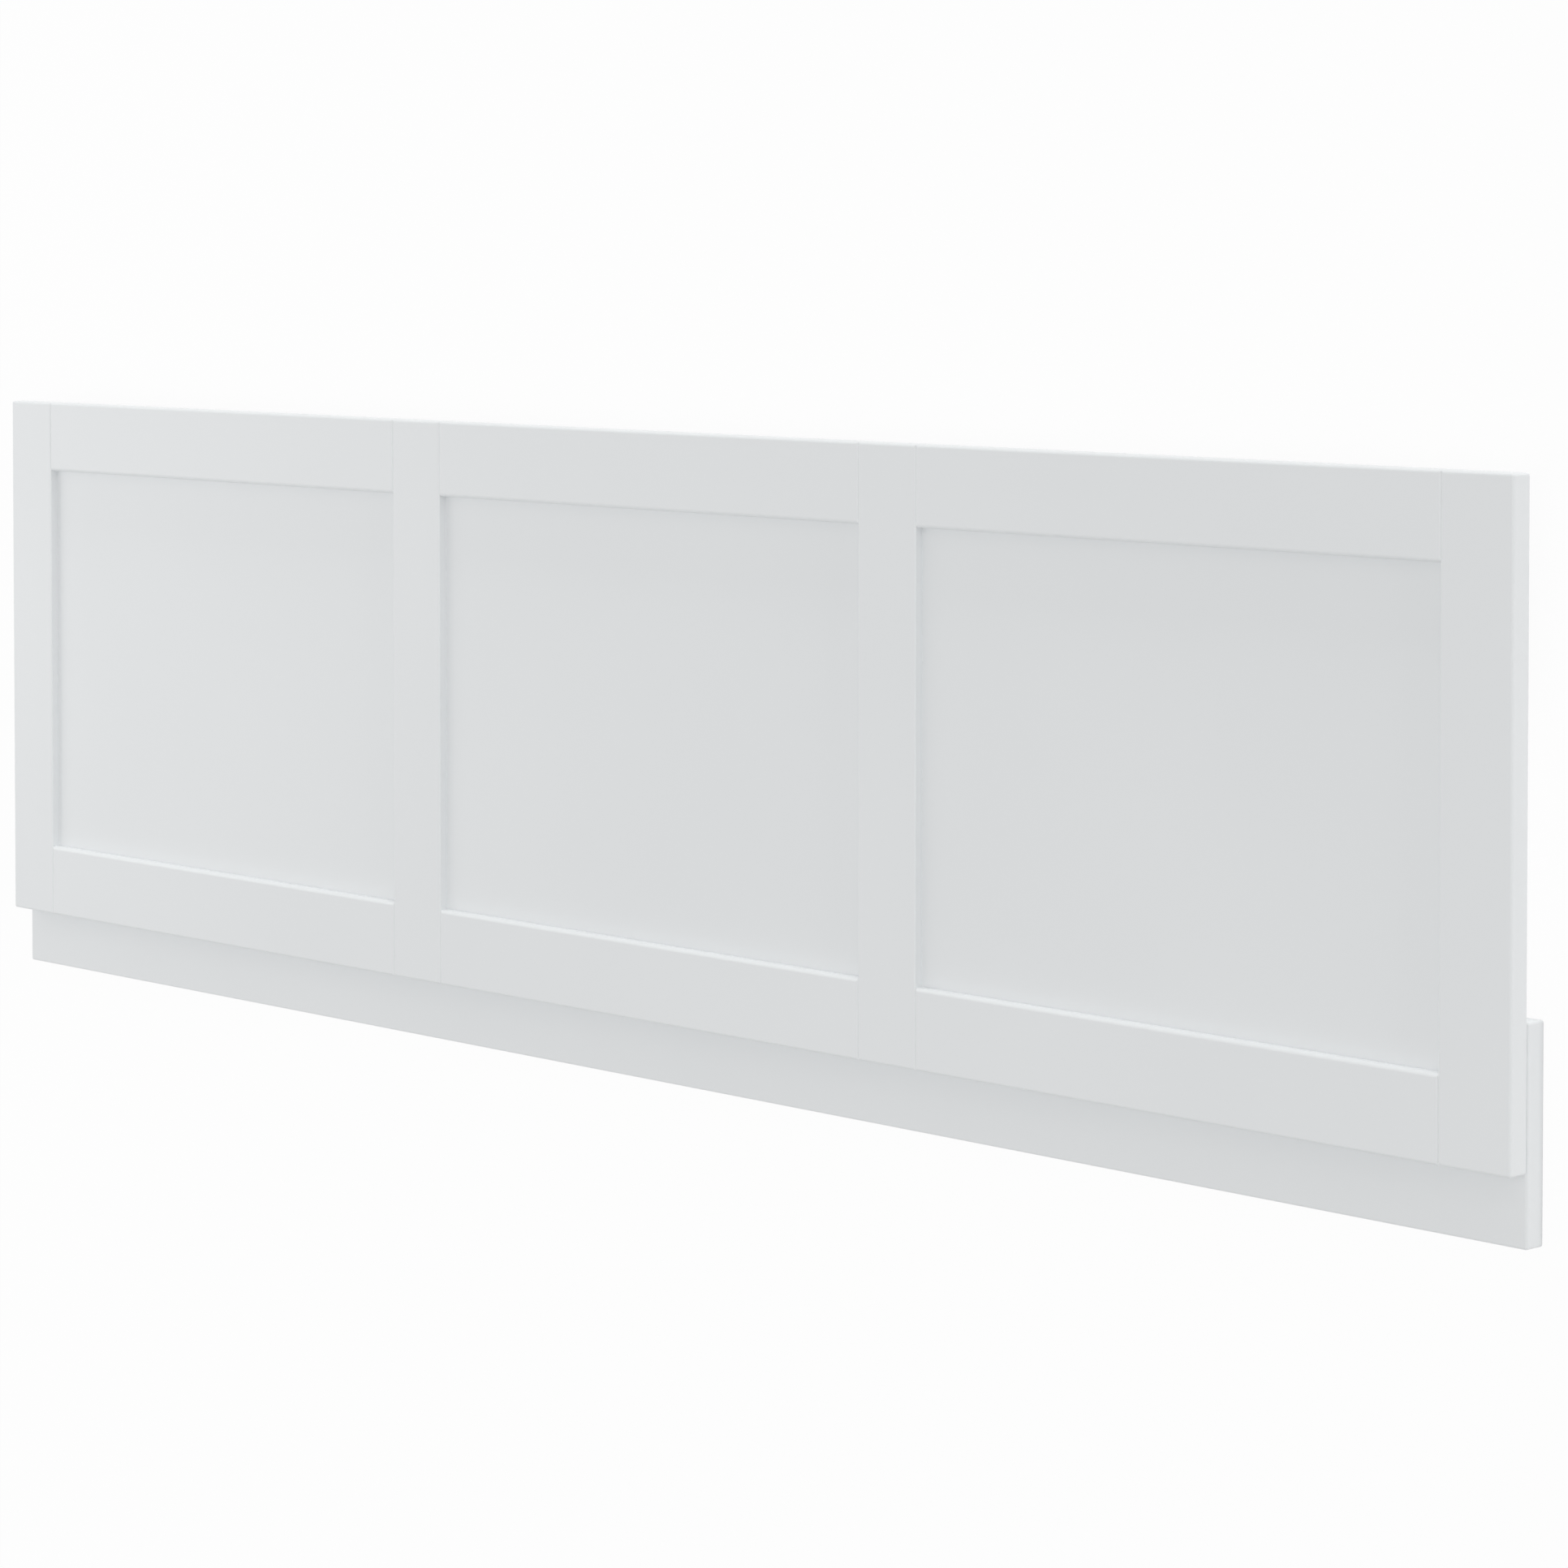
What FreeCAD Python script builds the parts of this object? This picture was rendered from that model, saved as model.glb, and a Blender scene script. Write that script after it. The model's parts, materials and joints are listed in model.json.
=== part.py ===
import FreeCAD, Part
import math
import os

# A framed bath front panel with its plinth, in millimetres. It lies on its back: X runs along its
# length, Y from the floor edge to the top edge, and Z out of the front face.
panel_length = 1700.0
panel_height = 460.0
stile_width = 60.0
top_rail_width = 61.0
bottom_rail_width = 61.0
recess_depth = 7.0       # front of the frame to the front of an infill panel
infill_thickness = 6.0
back_recess = 5.0        # back of an infill panel to the back of the frame
plinth_height = 150.0
plinth_thickness = 18.0
plinth_drop = 50.0       # how far the plinth shows below the frame

# Edges and joints
arris_radius = 2.0       # outer edges, and the plinth
rail_round = 3.0         # front edge of a rail beside its infill panel
joint_fall = 2.0         # half the width of the shallow V between a rail and a stile
joint_depth = 0.8        # depth of that V below the front of the frame
groove_depth = 10.0      # groove that holds the infill panels and the rails' tongues
groove_stop = 15.0       # a stile's groove ends this far from the frame's top and bottom edges
back_clearance = 0.2     # back of an infill panel or tongue in its groove; its front bears on the lip
edge_clearance = 1.0     # edge of an infill panel to the floor of its groove
tongue_clearance = 0.5   # end and outer edge of a tongue in its groove

bay_names = ("left", "middle", "right")
stile_names = ("end_stile_left", "mid_stile_left", "mid_stile_right", "end_stile_right")

# Places worked out from the sizes
bay_count = len(bay_names)
bay_width = (panel_length - len(stile_names) * stile_width) / bay_count
bay_pitch = bay_width + stile_width
frame_thickness = recess_depth + infill_thickness + back_recess
overall_height = panel_height + plinth_drop

left_end = -panel_length / 2
right_end = panel_length / 2
plinth_bottom = -overall_height / 2
frame_bottom = plinth_bottom + plinth_drop
frame_top = overall_height / 2
opening_bottom = frame_bottom + bottom_rail_width
opening_top = frame_top - top_rail_width

plinth_back = 0.0
frame_back = plinth_back + plinth_thickness
frame_front = frame_back + frame_thickness
infill_back = frame_back + back_recess
infill_front = infill_back + infill_thickness
groove_span = (infill_back - back_clearance, infill_front)


def block(x_span, y_span, z_span):
    """A box between the low and high value of each span."""
    low, high = zip(x_span, y_span, z_span)
    size = [b - a for a, b in zip(low, high)]
    return Part.makeBox(*size, FreeCAD.Vector(*low))


def edge_numbers(solid, **place):
    """Numbers of the straight edges that lie at the given x, y or z, counted from 1."""
    tolerance = 1e-6
    found = []
    for number, edge in enumerate(solid.Edges, start=1):
        ends = [vertex.Point for vertex in edge.Vertexes]
        offsets = [abs(getattr(end, axis) - value) for end in ends for axis, value in place.items()]
        if max(offsets) < tolerance:
            found.append(number)
    return found


def rounded(solid, radii):
    """The solid with each numbered edge rounded to its own radius."""
    document = FreeCAD.newDocument()
    base = document.addObject("Part::Feature", "base")
    base.Shape = solid
    fillet = document.addObject("Part::Fillet", "fillet")
    fillet.Base = base
    fillet.Edges = [(number, radius, radius) for number, radius in radii.items()]
    document.recompute()
    result = fillet.Shape.Solids[0].copy()
    FreeCAD.closeDocument(document.Name)
    return result


def joint_waste(joint_x, inward, y_span, front):
    """What is taken off a board's front edge to make its half of a V joint: a slow round that falls
    away from the front face and meets the joint at the V's depth."""
    radius = (joint_fall ** 2 + joint_depth ** 2) / (2 * joint_depth)
    sweep = math.asin(joint_fall / radius)
    start_x = joint_x + inward * joint_fall
    outer_x = joint_x - inward * joint_fall

    def on_arc(angle):
        return start_x - inward * radius * math.sin(angle), front - radius * (1 - math.cos(angle))

    def point(x, z):
        return FreeCAD.Vector(x, y_span[0], z)

    start, middle, end = (point(*on_arc(angle)) for angle in (0, sweep / 2, sweep))
    above = front + joint_depth
    corners = [end, point(outer_x, end.z), point(outer_x, above), point(start_x, above), start]
    edges = Part.makePolygon(corners).Edges + [Part.Arc(start, middle, end).toShape()]
    length = FreeCAD.Vector(0, y_span[1] - y_span[0], 0)
    return Part.Face(Part.Wire(edges)).extrude(length)


def board(x_span, y_span, z_span, joint_x=(), soft_y=None):
    """A board with its edges rounded.

    At joint_x, where it meets its neighbours, the edges across its thickness stay square and its
    front edge is half of a V joint. Its front edge at soft_y, where that is given, has the rails'
    larger round.
    """
    front = max(z_span)
    solid = block(x_span, y_span, z_span)
    radii = {number: arris_radius for number in range(1, len(solid.Edges) + 1)}
    for x in joint_x:
        square = edge_numbers(solid, x=x, z=front)
        for y in y_span:
            square += edge_numbers(solid, x=x, y=y)
        for number in square:
            del radii[number]
    if soft_y is not None:
        for number in edge_numbers(solid, y=soft_y, z=front):
            radii[number] = rail_round
    solid = rounded(solid, radii)
    for x in joint_x:
        inward = 1 if x == min(x_span) else -1
        solid = solid.cut(joint_waste(x, inward, y_span, front))
    return solid


def stile(index):
    """An upright of the frame, grooved in each edge that faces a bay."""
    left = left_end + index * bay_pitch
    right = left + stile_width
    y_span = (frame_bottom, frame_top)
    groove_y = (frame_bottom + groove_stop, frame_top - groove_stop)
    grooves = {}
    if index > 0:
        grooves[left] = (left, left + groove_depth)
    if index < bay_count:
        grooves[right] = (right - groove_depth, right)
    solid = board((left, right), y_span, (frame_back, frame_front), joint_x=grooves)
    for groove_x in grooves.values():
        solid = solid.cut(block(groove_x, groove_y, groove_span))
    return solid


def bay_span(index):
    """Left and right side of the opening between two stiles."""
    left = left_end + stile_width + index * bay_pitch
    return left, left + bay_width


def rail(index, inner, outer):
    """A rail between two stiles, with its groove at the inner edge and a tongue at each end."""
    left, right = bay_span(index)
    y_span = (min(inner, outer), max(inner, outer))
    z_span = (frame_back, frame_front)
    solid = board((left, right), y_span, z_span, joint_x=(left, right), soft_y=inner)

    outward = 1 if outer > inner else -1
    groove_floor = inner + outward * groove_depth
    groove_y = sorted((inner, groove_floor))
    solid = solid.cut(block((left, right), groove_y, groove_span))

    tongue_length = groove_depth - tongue_clearance
    tongue_outer = outer - outward * (groove_stop + tongue_clearance)
    tongue_y = sorted((groove_floor, tongue_outer))
    tongue_z = (infill_back, infill_front)
    for tongue_x in ((left - tongue_length, left), (right, right + tongue_length)):
        solid = solid.fuse(block(tongue_x, tongue_y, tongue_z))
    return solid.removeSplitter()


def infill_panel(index):
    """A flat panel whose edges sit in the grooves all round its bay."""
    left, right = bay_span(index)
    seat = groove_depth - edge_clearance
    x_span = (left - seat, right + seat)
    y_span = (opening_bottom - seat, opening_top + seat)
    return block(x_span, y_span, (infill_back, infill_front))


def plinth():
    """The board behind the lower edge, flat against the back of the frame."""
    y_span = (plinth_bottom, plinth_bottom + plinth_height)
    return board((left_end, right_end), y_span, (plinth_back, frame_back))


def pieces():
    """Every piece of the panel by name."""
    made = {}
    for index, name in enumerate(stile_names):
        made[name] = stile(index)
    for index, name in enumerate(bay_names):
        made["top_rail_" + name] = rail(index, opening_top, frame_top)
        made["bottom_rail_" + name] = rail(index, opening_bottom, frame_bottom)
        made["infill_panel_" + name] = infill_panel(index)
    made["plinth"] = plinth()
    return made


os.makedirs("parts", exist_ok=True)
for name, shape in pieces().items():
    shape.exportStep(os.path.join("parts", name + ".step"))
    print(name, shape.ShapeType, shape.isValid(), round(shape.Volume))
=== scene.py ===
import json
import math
import bpy
from mathutils import Matrix, Vector


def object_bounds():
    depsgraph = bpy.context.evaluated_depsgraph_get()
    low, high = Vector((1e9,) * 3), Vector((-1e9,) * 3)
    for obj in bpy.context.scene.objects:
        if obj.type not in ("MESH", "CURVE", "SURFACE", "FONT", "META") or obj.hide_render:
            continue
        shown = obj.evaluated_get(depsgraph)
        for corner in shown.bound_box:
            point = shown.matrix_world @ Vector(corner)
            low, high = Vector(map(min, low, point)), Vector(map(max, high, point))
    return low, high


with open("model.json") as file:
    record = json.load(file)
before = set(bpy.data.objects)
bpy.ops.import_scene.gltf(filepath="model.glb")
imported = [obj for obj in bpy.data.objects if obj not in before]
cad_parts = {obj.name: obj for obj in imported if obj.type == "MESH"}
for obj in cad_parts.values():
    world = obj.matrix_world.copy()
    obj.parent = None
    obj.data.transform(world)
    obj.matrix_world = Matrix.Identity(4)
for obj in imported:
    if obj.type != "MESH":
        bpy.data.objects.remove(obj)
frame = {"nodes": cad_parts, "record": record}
cadLow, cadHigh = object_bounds()
panelMid = (cadLow + cadHigh) / 2
print("bath panel: loaded", len(frame["nodes"]), "boards")


class Value:
    # one output socket, so that shader sums can be written as plain arithmetic
    def __init__(self, recipe, socket):
        self.recipe = recipe
        self.socket = socket

    def sum(self, operation, first, second):
        return self.recipe.node("ShaderNodeMath", {"operation": operation}, {0: first, 1: second})

    def __add__(self, other):
        return self.sum("ADD", self, other)

    def __radd__(self, other):
        return self.sum("ADD", other, self)

    def __sub__(self, other):
        return self.sum("SUBTRACT", self, other)

    def __rsub__(self, other):
        return self.sum("SUBTRACT", other, self)

    def __mul__(self, other):
        return self.sum("MULTIPLY", self, other)

    def __rmul__(self, other):
        return self.sum("MULTIPLY", other, self)


class Recipe:
    # a node tree that is filled node by node
    def __init__(self, tree):
        self.tree = tree
        self.tree.nodes.clear()

    def node(self, kind, settings=None, sockets=None, output=0):
        made = self.tree.nodes.new(kind)
        for name, setting in (settings or {}).items():
            if name == "stops":
                self.fillRamp(made.color_ramp, setting)
            else:
                setattr(made, name, setting)
        for name, value in (sockets or {}).items():
            if isinstance(value, Value):
                self.tree.links.new(value.socket, made.inputs[name])
            else:
                made.inputs[name].default_value = value
        if not made.outputs:
            return made
        return Value(self, made.outputs[output])

    def fillRamp(self, ramp, stops):
        while len(ramp.elements) < len(stops):
            ramp.elements.new(1.0)
        for element, (place, colour) in zip(ramp.elements, stops):
            element.position = place
            element.color = colour


def newRecipe(name):
    material = bpy.data.materials.new(name)
    material.use_nodes = True
    return material, Recipe(material.node_tree)


# Satin foil; each noise has its scale per metre
frameFoil = {
    "name": "satinFoilFrame",
    "pale": (0.857, 0.875, 0.884, 1.0),
    "deep": (0.843, 0.861, 0.871, 1.0),
    "toneRange": (0.3, 0.7),      # drift at which the tone is all deep, and all pale
    "roughness": 0.42,
    "roughnessDrift": 0.05,
    "driftMiddle": 0.5,           # drift at which the roughness is as given
    "ior": 1.46,
    "drift": {"Scale": 3.1, "Detail": 3.0, "Roughness": 0.55},    # slow change of tone
    "peel": {"Scale": 520.0, "Detail": 2.0, "Roughness": 0.5},    # fine orange peel of the pressed foil
    "peelHeight": 0.000003,       # metres
    "wave": {"Scale": 17.0, "Detail": 1.0, "Roughness": 0.4},     # long waves of the board under it
    "waveHeight": 0.00001,        # metres
    "seed": 0.0,
}
infillFoil = dict(frameFoil, name="satinFoilInfill", seed=11.3, wave=dict(frameFoil["wave"], Scale=9.0))
plinthFoil = dict(frameFoil, name="satinFoilPlinth", seed=27.9, wave=dict(frameFoil["wave"], Scale=12.0))


def satinFoil(look):
    material, recipe = newRecipe(look["name"])
    place = recipe.node("ShaderNodeTexCoord", output="Object")
    shifted = recipe.node("ShaderNodeMapping", {}, {"Vector": place, "Location": (look["seed"],) * 3})
    drift, peel, wave = (recipe.node("ShaderNodeTexNoise", {}, dict(look[noise], Vector=shifted))
                         for noise in ("drift", "peel", "wave"))
    allDeep, allPale = look["toneRange"]
    colour = recipe.node("ShaderNodeValToRGB", {
        "stops": [(allDeep, look["deep"]), (allPale, look["pale"])]}, {"Fac": drift})
    height = peel * look["peelHeight"] + wave * look["waveHeight"]
    normal = recipe.node("ShaderNodeBump", {}, {"Height": height, "Distance": 1.0, "Strength": 1.0})
    roughness = look["roughness"] + (drift - look["driftMiddle"]) * look["roughnessDrift"]
    shader = recipe.node("ShaderNodeBsdfPrincipled", {}, {
        "Base Color": colour, "Roughness": roughness, "Normal": normal, "IOR": look["ior"]})
    recipe.node("ShaderNodeOutputMaterial", {}, {"Surface": shader})
    return material


finishes = {
    "frame_foil": satinFoil(frameFoil),
    "infill_foil": satinFoil(infillFoil),
    "plinth_foil": satinFoil(plinthFoil),
}
slotOf = {part["node"]: part["material_slot"] for part in frame["record"]["subparts"]}
for node, board in frame["nodes"].items():
    board.data.materials.clear()
    board.data.materials.append(finishes[slotOf[node]])
print("bath panel: dressed the boards in", len(finishes), "foils")


# Floor
plainWhite = (1.0, 1.0, 1.0, 1.0)
floorLook = {
    "size": 60.0,
    "white": (0.86, 0.86, 0.86, 1.0),
    "glow": 0.95,             # share of plain white that the camera sees; the rest shows the shadow
}


def seenDirectly(recipe):
    paths = [recipe.node("ShaderNodeLightPath", {}, {}, output)
             for output in ("Is Camera Ray", "Is Glossy Ray", "Is Transmission Ray")]
    return recipe.node("ShaderNodeClamp", {}, {"Value": paths[0] + paths[1] + paths[2]})


def makeFloor(look):
    bpy.ops.object.select_all(action="DESELECT")
    bpy.ops.mesh.primitive_plane_add(size=look["size"], location=(panelMid.x, panelMid.y, cadLow.z))
    floor = bpy.context.object
    floor.name = "studioFloor"
    material, recipe = newRecipe("studioFloorWhite")
    matt = recipe.node("ShaderNodeBsdfDiffuse", {}, {"Color": look["white"]})
    glow = recipe.node("ShaderNodeEmission", {}, {"Color": plainWhite, "Strength": 1.0})
    both = recipe.node("ShaderNodeMixShader", {}, {
        0: seenDirectly(recipe) * look["glow"], 1: matt, 2: glow})
    recipe.node("ShaderNodeOutputMaterial", {}, {"Surface": both})
    floor.data.materials.append(material)


makeFloor(floorLook)
print("bath panel: laid on a white floor")


# Light; each box has its place, the point it faces, its width and height, and its radiance
skyLook = {"seen": plainWhite, "ambient": (0.44, 0.44, 0.44, 1.0)}
origin = (0.0, 0.0, 0.0)
leftBay = (-0.5, 0.0, 0.0)
softBoxes = {
    "overheadRight": {"place": (1.7, 0.0, 6.3), "aim": origin, "size": (5.0, 5.0), "radiance": 0.98},
    "backRight": {"place": (4.2, 4.2, 2.75), "aim": origin, "size": (5.0, 5.0), "radiance": 0.68},
    "frontLeft": {"place": (-3.0, -3.0, 5.0), "aim": origin, "size": (5.0, 5.0), "radiance": 0.7},
    "leftFill": {"place": (-1.9, 0.2, 0.9), "aim": leftBay, "size": (1.0, 1.0), "radiance": 0.93},
    "leftBackFill": {"place": (-1.7, 1.2, 0.9), "aim": leftBay, "size": (1.0, 1.0), "radiance": 0.4},
    "topEdgeStrip": {"place": (0.0, 7.0, 0.5), "aim": (0.0, 0.0, 0.5), "size": (3.6, 0.9), "radiance": 14.2},
    "endStrip": {"place": (6.9, 0.0, 0.85), "aim": origin, "size": (3.6, 0.9), "radiance": 3.5},
    # these two lie on the floor at the right-hand end and face up
    "endPanel": {
        "place": (1.125, 0.0, 0.002), "aim": (1.125, 0.0, 1.0), "size": (0.546, 0.9), "radiance": 0.24},
    "underEndPanel": {
        "place": (0.815, 0.0, 0.002), "aim": (0.815, 0.0, 1.0), "size": (0.07, 0.2), "radiance": 0.6},
}


def makeSky(look):
    world = bpy.data.worlds.new("studioSky")
    world.use_nodes = True
    bpy.context.scene.world = world
    recipe = Recipe(world.node_tree)
    seen = recipe.node("ShaderNodeBackground", {}, {"Color": look["seen"], "Strength": 1.0})
    ambient = recipe.node("ShaderNodeBackground", {}, {"Color": look["ambient"], "Strength": 1.0})
    both = recipe.node("ShaderNodeMixShader", {}, {0: seenDirectly(recipe), 1: ambient, 2: seen})
    recipe.node("ShaderNodeOutputWorld", {}, {"Surface": both})


def makeSoftBox(name, look):
    width, height = look["size"]
    light = bpy.data.lights.new(name, "AREA")
    light.shape = "RECTANGLE"
    light.size = width
    light.size_y = height
    light.energy = look["radiance"] * width * height * math.pi
    box = bpy.data.objects.new(name, light)
    box.location = look["place"]
    away = Vector(look["place"]) - Vector(look["aim"])
    box.rotation_euler = away.to_track_quat("Z", "Y").to_euler()
    box.visible_camera = False
    bpy.context.scene.collection.objects.link(box)


makeSky(skyLook)
for name, look in softBoxes.items():
    makeSoftBox(name, look)
print("bath panel: lit by", len(softBoxes), "soft boxes")


# Camera
photoCamera = {
    "framePixels": 1932,
    "lensPixels": 5895.42,     # focal length in pixels of the frame
    "sensorWidth": 36.0,       # millimetres
    "place": (2.76708, 0.42038, 2.51197),
    "turn": 0.81042,           # radians from straight above, towards the right-hand end
    "pitch": 0.03634,          # radians down towards the floor edge
    "shift": -0.25,
}


def makeCamera(look):
    data = bpy.data.cameras.new("photoCamera")
    data.sensor_width = look["sensorWidth"]
    data.lens = look["lensPixels"] / look["framePixels"] * look["sensorWidth"]
    data.shift_y = look["shift"]
    camera = bpy.data.objects.new("photoCamera", data)
    turn, pitch = look["turn"], look["pitch"]
    right = Vector((math.cos(turn), 0.0, -math.sin(turn)))
    level = Vector((-math.sin(turn), 0.0, -math.cos(turn)))
    forward = level * math.cos(pitch) - Vector((0.0, 1.0, 0.0)) * math.sin(pitch)
    up = right.cross(forward)
    camera.matrix_world = Matrix((
        (right.x, up.x, -forward.x, look["place"][0]),
        (right.y, up.y, -forward.y, look["place"][1]),
        (right.z, up.z, -forward.z, look["place"][2]),
        (0.0, 0.0, 0.0, 1.0)))
    bpy.context.scene.collection.objects.link(camera)
    bpy.context.scene.camera = camera


makeCamera(photoCamera)
bpy.context.scene.view_settings.view_transform = "Standard"

print("bath panel: camera set")
